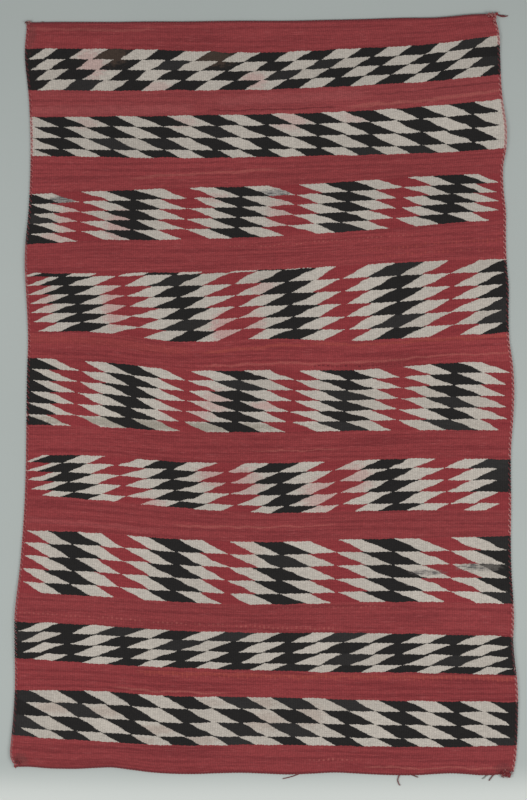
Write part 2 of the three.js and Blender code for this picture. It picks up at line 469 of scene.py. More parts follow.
def cloth_layer(strips):
    """Plan points and loom places of one layer of the cloth, row by row."""
    across = np.linspace(0, 1, WARPS * strips + 1)
    xs, ys, us, vs = [], [], [], []
    for gap, share, loom in rows_between():
        y = lines[gap](across) * (1 - share) + lines[gap + 1](across) * share
        xs.append(plan_point(across, y))
        ys.append(y)
        us.append(across * NOMINAL_WIDTH)
        vs.append(np.full_like(across, loom))
    return [np.array(part) for part in (xs, ys, us, vs)]


upper = cloth_layer(STRIPS_PER_RIB)
under = cloth_layer(1)
rib_share = np.linspace(0, WARPS, upper[0].shape[1]) % 1.0
rib_share[: STRIPS_PER_RIB // 2] = 0.5
rib_share[-(STRIPS_PER_RIB // 2) :] = 0.5
rib_height = CLOTH_THICKNESS - RIB_DEPTH * (1 - np.sin(np.pi * rib_share)) ** 1.2
upper_z = rib_height[None, :] * MM + floor_lift(upper[0], upper[1])
under_z = floor_lift(under[0], under[1])
row_count, upper_columns = upper[0].shape
under_columns = under[0].shape[1]

points = np.concatenate(
    [
        np.stack([upper[0], upper[1], upper_z], -1).reshape(-1, 3),
        np.stack([under[0], under[1], under_z], -1).reshape(-1, 3),
    ]
)
loom_places = np.concatenate(
    [np.stack(upper[2:], -1).reshape(-1, 2), np.stack(under[2:], -1).reshape(-1, 2)]
)
under_start = row_count * upper_columns
print("cloth points:", len(points))

# %% Close the cloth and give it its loom places
faces = []
for row_number in range(row_count - 1):
    upper_row = row_number * upper_columns
    under_row = under_start + row_number * under_columns
    for here in range(upper_row, upper_row + upper_columns - 1):
        faces.append((here, here + upper_columns, here + upper_columns + 1, here + 1))
    for here in range(under_row, under_row + under_columns - 1):
        faces.append((here, here + 1, here + under_columns + 1, here + under_columns))
    for side, flip in ((0, False), (1, True)):
        above = upper_row + side * (upper_columns - 1)
        below = under_row + side * (under_columns - 1)
        wall = (above, below, below + under_columns, above + upper_columns)
        faces.append(wall[::-1] if flip else wall)
for row_number, flip in ((0, True), (row_count - 1, False)):
    for rib in range(WARPS):
        first = row_number * upper_columns + rib * STRIPS_PER_RIB
        below = under_start + row_number * under_columns + rib
        wall = (*range(first, first + STRIPS_PER_RIB + 1), below + 1, below)
        faces.append(wall if flip else wall[::-1])


def make_piece(name, points, faces, layers, finish_material):
    """A mesh object with UV layers that hold a place for each point."""
    mesh = bpy.data.meshes.new(name)
    mesh.from_pydata(points.tolist(), [], faces)
    corner_points = np.empty(len(mesh.loops), dtype=np.int32)
    mesh.loops.foreach_get("vertex_index", corner_points)
    for layer_name, places in layers.items():
        layer = mesh.uv_layers.new(name=layer_name)
        layer.uv.foreach_set("vector", places[corner_points].astype(np.float32).ravel())
    mesh.materials.append(finish_material)
    mesh.shade_smooth()
    mesh.set_sharp_from_angle(angle=math.radians(SHARP_ANGLE))
    piece = bpy.data.objects.new(name, mesh)
    bpy.context.collection.objects.link(piece)
    return piece


cloth_finish = Finish("woven_wool")
cloth = make_piece("woven_cloth", points, faces, {"loom": loom_places}, cloth_finish.material)
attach(cloth, "root")
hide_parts("rug_cloth")
print("cloth faces:", len(faces))

# %% [markdown]
# ## The bands
# Each band is a few rows of leaning lozenges. The weaver moves the colour change by one rib every few
# wefts, so a lozenge leans, and starts each row afresh, so like colours meet only at thin necks. In a
# band of two colours a repeat is black and white. In a band of three it is black, white, red, white, and
# the red runs into the ground. The first two tables are a chart with one line for each band. A
# pair is a value at the left edge and at the right edge, because a hand-woven band tightens and drifts on
# its way across. The margins say beyond which repeat a band leaves the chart, near a side edge, and goes
# on in one yarn.

# %% The chart of the bands
CHART = table(
    "band repeats start bend lean step",
    (1, 9.14, 0.400, 0.0, (0.31, 0.31), (-0.10, -0.20)),
    (2, 9.16, 0.715, 0.0, (-0.49, -0.49), (0.0, 0.01)),
    (3, 4.45, 0.176, 0.0, (-0.265, -0.21), (-0.01, 0.05)),
    (4, 4.44, 0.715, 0.0, (0.215, 0.265), (-0.04, 0.01)),
    (5, 4.49, 0.196, 0.0, (-0.245, -0.245), (0.01, 0.01)),
    (6, 4.46, 0.772, 0.0, (0.205, 0.24), (-0.045, -0.015)),
    (7, 4.51, 0.643, 0.1, (-0.26, -0.26), (0.0, 0.0)),
    (8, 8.96, 0.355, 0.0, (0.44, 0.47), (-0.02, -0.02)),
    (9, 9.26, 0.100, 0.0, (-0.485, -0.485), (0.02, -0.02)),
)
ROWS = table(
    "band first last black colours",
    (1, (0.0, 0.0), (4.0, 4.0), 0.535, 2),
    (2, (0.1, 0.1), (3.63, 3.63), 0.54, 2),
    (3, (0.0, 0.0), (5.0, 5.0), 0.285, 3),
    (4, (-0.42, 0.25), (6.0, 5.8), 0.287, 3),
    (5, (0.08, 0.08), (5.95, 5.95), 0.283, 3),
    (6, (0.18, 0.18), (4.6, 4.6), 0.277, 3),
    (7, (0.05, 0.0), (4.8, 4.8), 0.285, 3),
    (8, (0.14, 0.14), (3.64, 3.64), 0.575, 2),
    (9, (0.07, 0.2), (3.64, 3.6), 0.528, 2),
)
MARGINS = table(
    "band side rows beyond per_row yarn",
    (1, "left", (0, 3), 0.73, -0.06, "black"),
    (1, "right", (1, 3), 9.0, 0.0, "black"),
    (2, "left", (0, 3), 0.95, 0.0, "white"),
    (2, "right", (0, 3), 9.6, 0.0, "white"),
    (3, "left", (0, 4), 0.33, 0.0, "black"),
    (3, "right", (0, 4), 4.40, 0.035, "red"),
    (4, "left", (-1, 5), 0.905, -0.03, "red"),
    (4, "right", (-1, 5), 5.0, 0.0, "black"),
    (5, "left", (0, 5), 0.35, 0.0, "black"),
    (5, "right", (0, 5), 4.60, 0.0, "red"),
    (6, "left", (0, 4), 0.94, -0.025, "red"),
    (6, "right", (0, 2), 5.0, 0.0, "black"),
    (6, "right", (3, 4), 5.0, 0.0, "red"),
    (7, "left", (0, 4), 0.775, 0.0, "red"),
    (7, "right", (0, 4), 5.0, 0.0, "black"),
    (8, "left", (0, 3), 0.655, 0.0, "black"),
    (8, "right", (0, 3), 9.0, 0.0, "black"),
    (9, "left", (0, 3), 0.0, 0.0, "black"),
    (9, "right", (0, 3), 9.0, 0.0, "black"),
)
WARP_PITCH = NOMINAL_WIDTH / WARPS
SEED_STEP = 20
print("bands:", len(CHART), "margins:", len(MARGINS))

# %% Read the chart at a place on the loom
PICK = 1.5
LINE_WANDER = 5.0
ROW_WANDER = 0.16
SLIP = 0.18
RAGGED = 0.03
WOBBLE = 0.05
RED_FROM = 0.51
RED_TO = 0.782
LINE_WANDER_SIZE = (45, 90)
ROW_WANDER_SIZE = 80
SLIP_SIZE = 75
ROW_SEED = 5.3
RAGGED_SIZE = (14, 6)
WOBBLE_ACROSS = 36
WOBBLE_DOWN = 12
CALM = 0.4
LOZENGES_IN_BAND = 37
LOZENGES_IN_ROW = 11


def slanted(pair, across):
    """A value that changes evenly from the left edge to the right edge."""
    left, right = pair
    return left if left == right else across * (right - left) + left


def band_values(finish, chart_row, band_rows, across, share):
    """What the chart says for one band, at a share of the way down it."""
    first = slanted(band_rows["first"], across)
    if band_rows["first"][0] < 0:
        # An extra row at the upper line that runs out on its way across.
        first = finish.math("MINIMUM", first, 0.0)
    last = slanted(band_rows["last"], across)
    repeats = chart_row["repeats"]
    return {
        "inside": 1.0,
        "inner": share * (1 - share) * 4,
        "place": share * (last - first) + first,
        "phase": across * (repeats + 4 * chart_row["bend"] * (1 - across)) + chart_row["start"],
        "lean": slanted(chart_row["lean"], across),
        "step": slanted(chart_row["step"], across),
        "middle": (band_rows["first"][0] + band_rows["last"][0] - 1) / 2,
        "black": band_rows["black"],
        "three": band_rows["colours"] - 2,
        "seed": chart_row["band"] * SEED_STEP,
    }


def band_chart(finish, u, v):
    """Masks of the black, white and red yarn at a place on the loom, and a number for each lozenge."""
    warp = finish.math("FLOOR", u / WARP_PITCH)
    odd = finish.math("MODULO", warp, 2.0)
    across = (finish.math("FLOOR", u / (WARP_PITCH / 2)) + 0.5) / (2 * WARPS)
    wander = finish.patches(u, v, LINE_WANDER_SIZE) - 0.5
    brick = odd * 0.5
    pick = finish.math("FLOOR", v / PICK + brick) - brick + 0.5
    level = pick * PICK + wander * LINE_WANDER
    here_sum = {}
    edges = zip(loom_lines[1:-1:2], loom_lines[2:-1:2])
    for chart_row, band_rows, (upper_line, lower_line) in zip(CHART, ROWS, edges):
        here = (level > upper_line) * (level < lower_line)
        share = (level - upper_line) / (lower_line - upper_line)
        for name, value in band_values(finish, chart_row, band_rows, across, share).items():
            here_sum[name] = here * value + here_sum.get(name, 0.0)
    inside, three, seed = (here_sum[name] for name in ("inside", "three", "seed"))
    # Noise is weaker along whole numbers, so the seed is moved off them.
    row_wander = (finish.noise(u / ROW_WANDER_SIZE, seed + 0.3) - 0.5) * here_sum["inner"] * ROW_WANDER
    place = here_sum["place"] + row_wander
    level_row = finish.math("FLOOR", place)
    down_row = place - level_row
    # A repeat of three colours is twice as wide, so its slips are a smaller share of it.
    calm = 1 - three * CALM
    slip = (finish.noise(u / SLIP_SIZE + seed, level_row * ROW_SEED + seed) - 0.5) * calm * SLIP
    ragged = (finish.patches(u, v, RAGGED_SIZE) - 0.5) * (1 - three * 0.5) * RAGGED
    wobble = (finish.noise(u / WOBBLE_ACROSS + seed, v / WOBBLE_DOWN) - 0.5) * calm * WOBBLE
    drift = here_sum["step"] * (level_row - here_sum["middle"])
    leaning = here_sum["lean"] * (down_row - 0.5)
    turn = here_sum["phase"] + leaning + drift + slip + ragged + wobble
    column = finish.math("FLOOR", turn)
    cell = turn - column
    black = inside * (cell < here_sum["black"])
    red = three * (cell > RED_FROM) * (cell < RED_TO)
    for row in MARGINS:
        beyond = level_row * row["per_row"] + row["beyond"] if row["per_row"] else row["beyond"]
        beside = turn < beyond if row["side"] == "left" else turn > beyond
        in_band = finish.equals(seed, row["band"] * SEED_STEP)
        first_row, last_row = row["rows"]
        edge = beside * in_band * (level_row > first_row - 0.5) * (level_row < last_row + 0.5)
        black = black * (1 - edge) + edge if row["yarn"] == "black" else black * (1 - edge)
        red = red * (1 - edge) + edge if row["yarn"] == "red" else red * (1 - edge)
    white = inside * (1 - red) * (1 - black)
    lozenge = seed * LOZENGES_IN_BAND + level_row * LOZENGES_IN_ROW + column
    return black, white, red, lozenge


u, v = cloth_finish.mapped("loom")
black, white, red, lozenge = band_chart(cloth_finish, u, v)
print("nodes so far in the cloth's finish:", len(cloth_finish.tree.nodes))

# %% [markdown]
# ## The wool
# Hand-dyed wool is never one colour. Each new skein is a little lighter, browner or more orange, and it
# shows as streaks along the weft. White yarn has taken up some of the red, and black yarn is part brown
# fleece and part dye. The streaks are noise that is stretched along the weft, and each lozenge gets its
# own number for its shade.

# %% Colours of the yarns
RED_DEEP = dye(130, 50, 53)
RED = dye(147, 60, 62)
RED_PINK = dye(166, 92, 91)
ROSE = dye(164, 84, 84)
CRIMSON = dye(134, 49, 53)
BLACK = dye(33, 31, 30)
BLACK_WORN = dye(46, 44, 43)
WHITE = dye(189, 180, 169)
WHITE_GREY = dye(176, 167, 156)
WHITE_PINK = dye(186, 148, 142)
SKEINS = table(
    "stripe shade rose",
    (1, 0.98, 0.1),
    (2, 0.98, 0.25),
    (3, 0.99, 0.08),
    (4, 0.99, 0.05),
    (5, 1.0, 0.0),
    (6, 0.95, 0.0),
    (7, 0.92, 0.05),
    (8, 0.93, 0.05),
    (9, 0.94, 0.0),
    (10, 0.91, 0.05),
)
STREAK_SIZE = (260, 7)
THREAD_SIZE = (40, 2.2)
CLOUD_SIZE = (330, 170)

streak = cloth_finish.patches(u, v, STREAK_SIZE, 3.0)
thread = cloth_finish.patches(u, v, THREAD_SIZE, 3.0)
cloud = cloth_finish.patches(u, v, CLOUD_SIZE)
red_wool = cloth_finish.blend(cloth_finish.rise(streak, 0.35, 0.6), RED_DEEP, RED)
red_wool = cloth_finish.blend(cloth_finish.rise(thread, 0.6, 0.74) * 0.35, red_wool, RED_PINK)
skein_shade = 1.0
skein_rose = 0.0
for row in SKEINS:
    upper_line, lower_line = loom_lines[2 * row["stripe"] - 2 : 2 * row["stripe"]]
    in_stripe = (v > upper_line) * (v < lower_line)
    skein_shade = in_stripe * (row["shade"] - 1) + skein_shade
    skein_rose = in_stripe * row["rose"] + skein_rose
red_wool = cloth_finish.blend(skein_rose, red_wool, ROSE)
red_wool = cloth_finish.shaded(red_wool, skein_shade)

shade_of_lozenge = cloth_finish.chance(lozenge)
black_wool = cloth_finish.blend(cloth_finish.rise(shade_of_lozenge, 0.8, 1.0), BLACK, BLACK_WORN)
white_wool = cloth_finish.blend(cloth_finish.rise(shade_of_lozenge, 0.6, 1.0) * 0.5, WHITE, WHITE_GREY)
crimson_wool = cloth_finish.blend(cloth_finish.rise(streak, 0.35, 0.65) * 0.5, CRIMSON, RED)
print("yarn colours mixed, skeins:", len(SKEINS))

# %% [markdown]
# ## Streaks of other skeins
# Where a skein ran out, the weaver went on with the next one, and a few wefts of another red show as a
# line. A line of only one weft shows on every second rib, as dots, because on the ribs between it runs
# underneath. Each line runs nearly straight on the loom from one place to another, and the rows below
# list them.

# %% Lines of other reds
ORANGE = dye(170, 80, 68)
PALE_RED = dye(186, 108, 98)
DARK_RED = dye(92, 34, 38)
STREAKS = table(
    "from to tall colour strength dots",
    ((-40, 18), (340, 22), 8, PALE_RED, 0.2, False),
    ((-40, 188), (440, 194), 4, DARK_RED, 0.3, False),
    ((-40, 212), (430, 212), 26, ROSE, 0.45, False),
    ((460, 192), (870, 186), 26, ROSE, 0.4, False),
    ((440, 216), (800, 213), 4.5, DARK_RED, 0.6, False),
    ((860, 188), (1240, 182), 4.5, DARK_RED, 0.4, False),
    ((800, 216), (1240, 203), 9, PALE_RED, 0.3, False),
    ((240, 379), (640, 362), 7, PALE_RED, 0.25, False),
    ((480, 547), (1000, 546), 3.5, PALE_RED, 0.3, True),
    ((500, 555), (800, 564), 4, DARK_RED, 0.3, False),
    ((830, 574), (1240, 566), 9, ORANGE, 0.28, True),
    ((870, 592), (1240, 585), 6, ORANGE, 0.28, True),
    ((420, 807), (710, 787), 9, ORANGE, 0.4, False),
    ((690, 787), (1240, 786), 9, ORANGE, 0.35, False),
    ((-40, 796), (420, 802), 26, ORANGE, 0.15, False),
    ((420, 837), (1240, 826), 6, PALE_RED, 0.28, False),
    ((690, 838), (960, 842), 4, DARK_RED, 0.7, True),
    ((550, 1047), (790, 1050), 3.5, PALE_RED, 0.3, False),
    ((360, 1238), (780, 1226), 5, PALE_RED, 0.3, False),
    ((-40, 1246), (340, 1254), 13, ROSE, 0.25, False),
    ((-40, 1474), (540, 1478), 6, PALE_RED, 0.24, True),
    ((510, 1480), (800, 1488), 8, PALE_RED, 0.3, True),
    ((610, 1431), (950, 1437), 4, PALE_RED, 0.25, True),
    ((280, 1607), (1240, 1600), 14, ORANGE, 0.36, True),
    ((280, 1604), (1240, 1597), 10, ORANGE, 0.3, False),
    ((220, 1646), (520, 1650), 5, PALE_RED, 0.35, False),
    ((-40, 1800), (330, 1788), 6, DARK_RED, 0.25, False),
    ((830, 1824), (1240, 1830), 5, PALE_RED, 0.3, False),
    ((690, 1812), (850, 1808), 5, PALE_RED, 0.35, True),
)
LINE_END = 40
WAVE = 12
WAVE_SIZE = (60, 40)
DOT_SIZE = (16, 5)
FRAY = 1.6
FRAY_SIZE = (30, 4)

wave = (cloth_finish.patches(u, v, WAVE_SIZE) - 0.5) * WAVE
odd_rib = cloth_finish.math("MODULO", cloth_finish.math("FLOOR", u / WARP_PITCH), 2.0)
dotted = odd_rib * cloth_finish.rise(cloth_finish.patches(u, v, DOT_SIZE), 0.35, 0.55)
fray = (cloth_finish.patches(u, v, FRAY_SIZE, 3.0) - 0.5) * FRAY
for row in STREAKS:
    from_u, from_v = row["from"]
    to_u, to_v = row["to"]
    slope = (to_v - from_v) / (to_u - from_u)
    above = v + wave - u * slope - (from_v - from_u * slope)
    off = cloth_finish.math("ABSOLUTE", above) / (row["tall"] / 2)
    ends = cloth_finish.rise(u, from_u, from_u + LINE_END) * cloth_finish.rise(u, to_u, to_u - LINE_END)
    line = (1 - cloth_finish.rise(off + fray, 0.5, 1.2)) * ends * row["strength"]
    red_wool = cloth_finish.blend(line * dotted if row["dots"] else line, red_wool, row["colour"])
red_wool = cloth_finish.blend(red, red_wool, crimson_wool)
print("lines of other reds:", len(STREAKS))

# %% [markdown]
# ## Stains, bleeds and wear
# Old rugs carry stains, and places where the red has run into the white. Each one here is a soft oval
# given in a table, with a ragged edge from noise. It pulls one yarn, or all of them, towards its
# own colour. In a few places dark threads show through worn white yarn.

# %% Marks on the yarns
PINK = dye(188, 150, 144)
TAN = dye(168, 150, 138)
MARKS = table(
    "on u v wide tall colour strength",
    ("black", 212, 84, 58, 26, dye(74, 60, 51), 0.8),
    ("black", 476, 84, 62, 26, dye(74, 60, 51), 0.8),
    ("white", 326, 157, 45, 14, PINK, 0.45),
    ("white", 137, 246, 40, 16, PINK, 0.4),
    ("white", 382, 243, 45, 16, PINK, 0.4),
    ("white", 470, 428, 40, 14, PINK, 0.4),
    ("white", 160, 105, 45, 40, PINK, 0.6),
    ("white", 575, 140, 40, 26, PINK, 0.6),
    ("white", 660, 245, 60, 26, PINK, 0.55),
    ("white", 830, 240, 50, 20, PINK, 0.4),
    ("white", 85, 420, 42, 13, dye(126, 123, 121), 0.7),
    ("white", 625, 422, 48, 11, dye(136, 134, 132), 0.6),
    ("white", 230, 490, 45, 45, PINK, 0.75),
    ("white", 70, 512, 60, 16, PINK, 0.5),
    ("white", 215, 700, 34, 75, PINK, 0.8),
    ("white", 495, 750, 45, 50, PINK, 0.85),
    ("white", 590, 650, 40, 22, PINK, 0.45),
    ("white", 400, 955, 70, 30, PINK, 0.45),
    ("white", 585, 938, 40, 12, PINK, 0.65),
    ("white", 330, 992, 420, 15, dye(150, 142, 128), 0.8),
    ("white", 490, 1108, 75, 36, PINK, 0.75),
    ("white", 815, 1120, 55, 42, PINK, 0.6),
    ("white", 295, 1187, 55, 15, PINK, 0.7),
    ("white", 560, 1290, 40, 60, dye(178, 160, 148), 0.5),
    ("all", 1000, 1352, 48, 8, dye(120, 112, 108), 0.45),
    ("all", 1130, 1340, 62, 11, dye(120, 114, 108), 0.5),
    ("white", 700, 1700, 50, 35, TAN, 0.5),
    ("white", 340, 1738, 60, 12, TAN, 0.6),
    ("white", 110, 470, 45, 50, PINK, 0.65),
    ("white", 640, 470, 45, 40, PINK, 0.45),
    ("white", 45, 690, 30, 50, PINK, 0.4),
    ("white", 560, 740, 40, 40, PINK, 0.5),
    ("white", 470, 925, 45, 35, PINK, 0.55),
    ("white", 115, 912, 40, 12, PINK, 0.45),
    ("white", 548, 1125, 50, 40, PINK, 0.5),
    ("white", 735, 1155, 60, 45, PINK, 0.65),
    ("white", 94, 1700, 60, 16, TAN, 0.6),
    ("white", 215, 1704, 50, 13, TAN, 0.45),
    ("white", 310, 1765, 45, 9, TAN, 0.5),
    ("white", 445, 1762, 50, 12, TAN, 0.6),
    ("white", 465, 1673, 45, 9, TAN, 0.4),
    ("white", 585, 1674, 45, 15, TAN, 0.55),
    ("white", 600, 1716, 60, 26, TAN, 0.5),
    # The last three marks darken the cloth towards brown at three of its corners.
    ("all", 6, 36, 17, 42, dye(104, 60, 58), 0.4),
    ("all", 16, 1826, 22, 16, dye(108, 62, 60), 0.5),
    ("all", 1180, 1828, 26, 14, dye(98, 48, 50), 0.5),
)
DARK_THREADS = table(
    "u v wide tall",
    (85, 420, 40, 12),
    (625, 421, 46, 9),
    (1000, 1352, 46, 7),
    (1120, 1338, 60, 9),
)
THREAD_GREY = dye(70, 70, 72)
THREAD_STRENGTH = 0.8
TANGLE_SIZE = (22, 2.6)
MARK_RAGGED = 1.2
MARK_RAGGED_SIZE = (12, 5)
MARK_CORE = 0.45
MARK_RIM = 1.15

ragged_edge = (cloth_finish.patches(u, v, MARK_RAGGED_SIZE, 3.0) - 0.5) * MARK_RAGGED
tangle = cloth_finish.rise(cloth_finish.patches(u, v, TANGLE_SIZE, 3.0), 0.47, 0.57)


def oval(row):
    """A ragged oval: 1 in the middle, 0 outside."""
    far_u = (u - row["u"]) / row["wide"]
    far_v = (v - row["v"]) / row["tall"]
    far = cloth_finish.math("SQRT", far_u * far_u + far_v * far_v) + ragged_edge
    return 1 - cloth_finish.rise(far, MARK_CORE, MARK_RIM)


def marked(wool, yarn):
    """A yarn's colour with the marks that fall on it."""
    for row in MARKS:
        if row["on"] in (yarn, "all"):
            wool = cloth_finish.blend(oval(row) * row["strength"], wool, row["colour"])
    return wool


white_wool = marked(white_wool, "white")
for row in DARK_THREADS:
    white_wool = cloth_finish.blend(oval(row) * tangle * THREAD_STRENGTH, white_wool, THREAD_GREY)
black_wool = marked(black_wool, "black")
red_wool = marked(red_wool, "red")
wool = cloth_finish.blend(white, red_wool, white_wool)
wool = cloth_finish.blend(black, wool, black_wool)
print("marks:", len(MARKS))

# %% [markdown]
# ## Ribs and weft beads
# Where the weft passes over a rib it shows as a small bead, and the next weft shows over the next rib, so
# the beads stand like bricks in a wall. They are smaller than a millimetre in height, so a bump is
# enough. The colour is darker in the furrows between the ribs and the dips between the beads: painted
# shade, with some dirt in the furrows.

# %% Bump, painted shade, tone and sheen of the wool
BEAD_HEIGHT = 0.0004
FURROW_SHADE = 0.14
CLOUD_SHADE = 0.22
THREAD_SHADE = 0.22
GRAIN_SHADE = 0.24
FIBRE_SIZE = (1.3, 1.3)
FIBRE_RELIEF = 0.6
BEAD_SHADE = 0.12
BEAD_LEAST = 0.9


def around_one(value, amount):
    """A value from 0 to 1 as a factor around 1."""
    return value * amount + (1 - amount / 2)


warp = cloth_finish.math("FLOOR", u / WARP_PITCH)
brick = cloth_finish.math("MODULO", warp, 2.0) * 0.5
bead = cloth_finish.math("ABSOLUTE", cloth_finish.math("SINE", (v / PICK + brick) * math.pi))
rib = cloth_finish.math("ABSOLUTE", cloth_finish.math("SINE", u * (math.pi / WARP_PITCH)))
fibre = cloth_finish.patches(u, v, FIBRE_SIZE, 3.0)
weft = cloth_finish.math("FLOOR", v / PICK + brick)
bead_place = cloth_finish.node("ShaderNodeCombineXYZ", None, {0: warp, 1: weft})
grain = cloth_finish.node("ShaderNodeTexWhiteNoise", {"noise_dimensions": "2D"}, {"Vector": bead_place})
# Painted shade: darker in the furrows between ribs and between beads. Cloud, thread and grain are the
# wool's own tone.
painted_shade_and_tone = (rib * FURROW_SHADE + (1.0 - FURROW_SHADE)) * (bead * BEAD_SHADE + BEAD_LEAST)
for value, amount in ((cloud, CLOUD_SHADE), (thread, THREAD_SHADE), (grain, GRAIN_SHADE)):
    painted_shade_and_tone = painted_shade_and_tone * around_one(value, amount)
wool = cloth_finish.shaded(wool, painted_shade_and_tone)
cloth_finish.woollen(wool, cloth_finish.bumped(bead + fibre * FIBRE_RELIEF, BEAD_HEIGHT))
print("nodes in the cloth's finish:", len(cloth_finish.tree.nodes))

# %% [markdown]
# ## Yarn
# Cords, knots and loose ends are all yarn, so one helper sweeps a round strand along any run of points.
# It carries two UV layers: "yarn" runs around and along the strand, for the twist of its plies, and
# "place" says which dye the strand has and where it lies on the loom.


# %% Directions along a path
def distance_along(points):
    """How far along a path each of its points is."""
    return np.concatenate([[0.0], np.cumsum(np.linalg.norm(np.diff(points, axis=0), axis=1))])


def directions_along(centre):
    """The directions to the side and up at each point of a path."""
    ahead = np.gradient(centre, axis=0)
    ahead /= np.linalg.norm(ahead, axis=1)[:, None]
    side = np.cross(ahead, (0.0, 0.0, 1.0))
    side /= np.maximum(np.linalg.norm(side, axis=1), 1e-9)[:, None]
    return side, np.cross(side, ahead)


def spaced(points, step):
    """The same path with points an even step apart."""
    points = np.asarray(points, float)
    far = distance_along(points)
    stations = np.linspace(0, far[-1], max(3, int(far[-1] / step) + 1))
    return np.stack([np.interp(stations, far, part) for part in points.T], -1)


print("a path of 1 m in steps of 250 mm:", spaced([(0, 0), (1, 0)], 0.25)[:, 0])


# %% A bundle of strands
class Yarn:
    """Strands gathered into one piece."""

    def __init__(self):
        self.points = []
        self.faces = []
        self.around = []
        self.place = []

    def strand(self, centre, radius, dye_number, loom=None, sides=6):
        """Sweep a strand along centre points. Radius is one number or one for each point."""
        centre = np.asarray(centre, float)
        count = len(centre)
        radius = np.broadcast_to(radius, (count,))
        loom = np.zeros(count) if loom is None else np.asarray(loom, float)
        side, above = directions_along(centre)
        along = distance_along(centre) / MM
        first = len(self.points)
        for station in range(count):
            for corner in range(sides):
                angle = 2 * math.pi * corner / sides
                way = math.cos(angle) * side[station] + math.sin(angle) * above[station]
                self.points.append(centre[station] + radius[station] * way)
                self.around.append((corner / sides, along[station]))
                self.place.append((dye_number, loom[station]))
        last = first + (count - 1) * sides
        for ring in range(first, last, sides):
            for corner in range(sides):
                here = ring + corner
                beside = ring + (corner + 1) % sides
                self.faces.append((here, beside, beside + sides, here + sides))
        self.faces.append(tuple(reversed(range(first, first + sides))))
        self.faces.append(tuple(range(last, last + sides)))

    def twisted(self, centre, strand_radius, spread, pitch, dye_numbers, loom=None, sides=6):
        """Strands that wind around a shared line. Spread is how far they go to the side and up."""
        side, above = directions_along(centre)
        along = distance_along(centre)
        for number, dye_number in enumerate(dye_numbers):
            angle = 2 * math.pi * (along / pitch + number / len(dye_numbers))
            wind = spread[0] * np.cos(angle)[:, None] * side + spread[1] * np.sin(angle)[:, None] * above
            self.strand(centre + wind, strand_radius, dye_number, loom, sides)

    def piece(self, name, finish, node, slot):
        layers = {"yarn": np.array(self.around), "place": np.array(self.place)}
        made = make_piece(name, np.array(self.points), self.faces, layers, finish.material)
        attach(made, "root")
        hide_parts(node)
        return made


print("yarn helper ready")

# %% [markdown]
# ## Finish of the yarn
# The side cords are twined into the edge of the weave. One strand stays red and only darkens or pales
# beside the bands. The other is wrapped by the weft, so it takes the colour of the band that it passes,
# and the black bands end in dark red dashes. The dye number picks the strand's colour, and the loom place
# finds the band.

# %% Dyed yarn
DYES = {
    "red": (0, dye(134, 54, 57)),
    "weft": (1, dye(158, 84, 84)),
    "maroon": (2, dye(114, 50, 53)),
    "pale": (3, dye(178, 122, 118)),
    "brown": (4, dye(108, 72, 69)),
    # grey is only used for a painted shadow beside a loose end.
    "grey": (5, dye(150, 148, 142)),
}
RED_NUMBER = DYES["red"][0]
WEFT_NUMBER = DYES["weft"][0]
MAROON_NUMBER = DYES["maroon"][0]
EDGE_DARK = dye(84, 41, 43)
FADED = dye(176, 112, 109)
RIGHT_CORD = 10
EDGE_U = 5
PLY_LENGTH = 5.0
PLY_HEIGHT = 0.0004
FLECK_LENGTH = 2.0
FLECK_SHADE = 0.4
FLECK_RELIEF = 0.5
PLY_SHADE = 0.25
PLY_LEAST = 0.85
BESIDE_BLACK = 0.85
BESIDE_WHITE = 0.7


def yarn_finish(name):
    """A finish for yarn, the places that its UV layers give, and the strand's own dye."""
    finish = Finish(name)
    turn, along = finish.mapped("yarn")
    number, loom = finish.mapped("place")
    on_right = number > RIGHT_CORD - 0.5
    number = number - on_right * RIGHT_CORD
    colour = DYES["red"][1]
    for dye_number, dyed in DYES.values():
        colour = finish.blend(finish.equals(number, dye_number), colour, dyed)
    place = {"turn": turn, "along": along, "number": number, "loom": loom, "right": on_right}
    return finish, place, colour


def wool_yarn(finish, place, colour):
    """Fibre streaks, the twist of the plies with painted shade in the grooves between them, and a matte
    surface.
    """
    wound = place["turn"] * 2 + place["along"] / PLY_LENGTH
    ply = finish.math("ABSOLUTE", finish.math("SINE", wound * math.pi))
    fleck = finish.noise(place["turn"] * 6, place["along"] / FLECK_LENGTH, 3.0)
    # Painted shade: the colour is darker in the grooves between the plies.
    colour = finish.shaded(colour, (ply * PLY_SHADE + PLY_LEAST) * around_one(fleck, FLECK_SHADE))
    finish.woollen(colour, finish.bumped(ply + fleck * FLECK_RELIEF, PLY_HEIGHT))


cord_finish, place, colour = yarn_finish("cord_wool")
edge_u = place["right"] * (NOMINAL_WIDTH - 2 * EDGE_U) + EDGE_U
edge_black, edge_white = band_chart(cord_finish, edge_u, place["loom"])[:2]
red_strand = cord_finish.blend(edge_black * BESIDE_BLACK, DYES["red"][1], EDGE_DARK)
red_strand = cord_finish.blend(edge_white * BESIDE_WHITE, red_strand, DYES["pale"][1])
worn_strand = cord_finish.blend(place["right"], DYES["weft"][1], FADED)
weft_strand = cord_finish.blend(edge_black, worn_strand, BLACK)
weft_strand = cord_finish.blend(edge_white, weft_strand, WHITE_PINK)
colour = cord_finish.blend(cord_finish.equals(place["number"], RED_NUMBER), colour, red_strand)
colour = cord_finish.blend(cord_finish.equals(place["number"], WEFT_NUMBER), colour, weft_strand)
wool_yarn(cord_finish, place, colour)

knot_finish, place, colour = yarn_finish("knot_wool")
wool_yarn(knot_finish, place, colour)
print("dyes:", list(DYES))

# %% [markdown]
# ## Side cords
# Each side cord lies just outside the cloth's edge, so its line is the edge itself, moved out. Its two
# strands wind around each other with a turn in a little over a centimetre, which gives the edge its small
# scallops.

# %% Twine the side cords
SIDE_OUT = 1.0
CORD_HEIGHT = 2.1
STRAND_RADIUS = 1.45
SIDE_SPREAD = (2.6 * MM, 0.6 * MM)
CORD_REACH = 5.0
SIDE_PITCH = 13.4
CORD_STEP = 1.6


